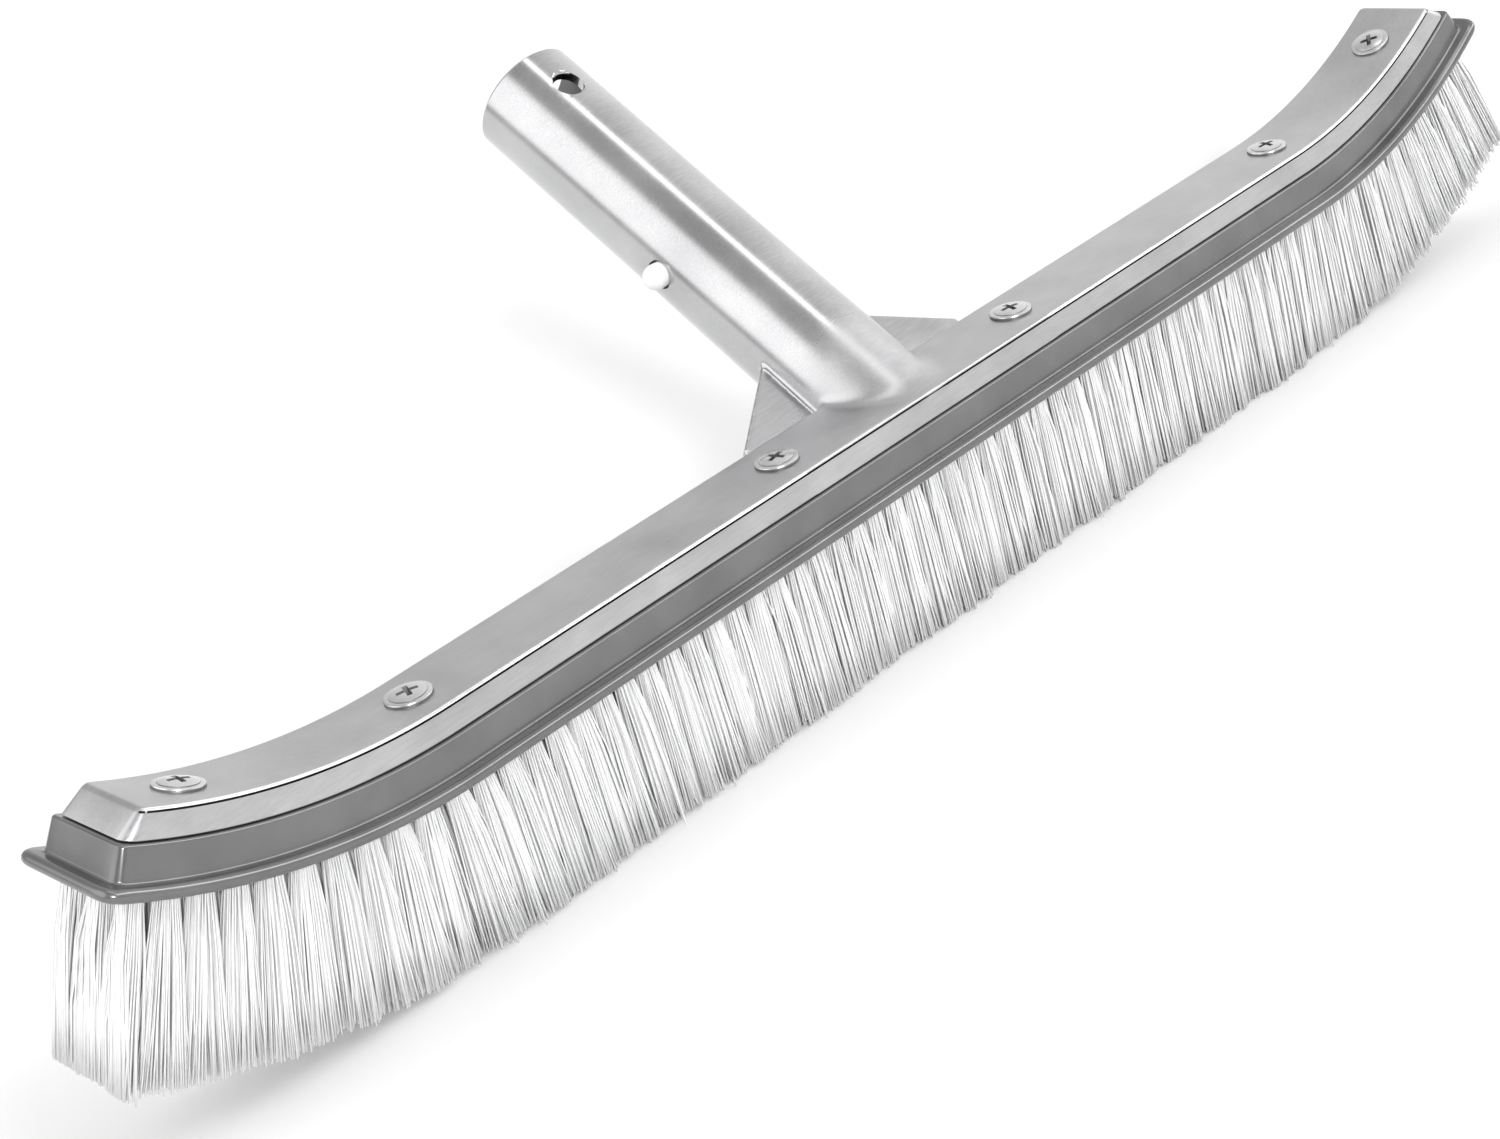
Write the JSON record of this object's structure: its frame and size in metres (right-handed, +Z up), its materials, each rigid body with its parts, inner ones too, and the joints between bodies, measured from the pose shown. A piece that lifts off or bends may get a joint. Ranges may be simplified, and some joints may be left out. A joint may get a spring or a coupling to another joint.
{
  "type": "pool wall brush",
  "caption": "Wide curved pool brush with white nylon tufts in a plastic block, a cast aluminium back and an angled pole socket with snap buttons.",
  "frame": {"origin": "middle of the plane that the bristle tips touch", "axes": "+X along the brush, -Y the front, +Y the side of the pole socket, +Z up"},
  "size_m": [0.4774, 0.1329, 0.1302],
  "materials": {
    "cast_aluminium": "polished casting, finely brushed along its length",
    "block_plastic": "satin moulded",
    "screw_steel": "stainless",
    "bristle_nylon": "translucent filament",
    "anchor_brass": "plain wire",
    "spring_steel": "stainless strip",
    "button_plastic": "moulded"
  },
  "bodies": {
    "brush": {"back_casting": "cast_aluminium", "brush_block": "block_plastic", "screw_1": "screw_steel", "screw_2": "screw_steel", "screw_3": "screw_steel", "screw_4": "screw_steel", "screw_5": "screw_steel", "screw_6": "screw_steel", "bristle_row_1": "bristle_nylon", "bristle_row_2": "bristle_nylon", "bristle_row_3": "bristle_nylon", "bristle_row_4": "bristle_nylon", "bristle_row_5": "bristle_nylon", "tuft_anchors_1": "anchor_brass", "tuft_anchors_2": "anchor_brass", "tuft_anchors_3": "anchor_brass", "tuft_anchors_4": "anchor_brass", "tuft_anchors_5": "anchor_brass", "clip_bight": "spring_steel"},
    "clip_left": {"clip_leaf_left": "spring_steel", "clip_button_left": "button_plastic"},
    "clip_right": {"clip_leaf_right": "spring_steel", "clip_button_right": "button_plastic"}
  },
  "joints": [
    {"name": "button_left_press", "type": "hinge", "parent": "brush", "child": "clip_left", "pos_m": [-0.0095, 0.02789, 0.06048], "axis": [0, 0.5899, -0.8075], "range_deg": [0, 7], "stiffness_Nm_per_rad": 5, "springref_deg": -3.44},
    {"name": "button_right_press", "type": "hinge", "parent": "brush", "child": "clip_right", "pos_m": [0.0095, 0.02789, 0.06048], "axis": [0, -0.5899, 0.8075], "range_deg": [0, 7], "stiffness_Nm_per_rad": 5, "springref_deg": -3.44}
  ]
}
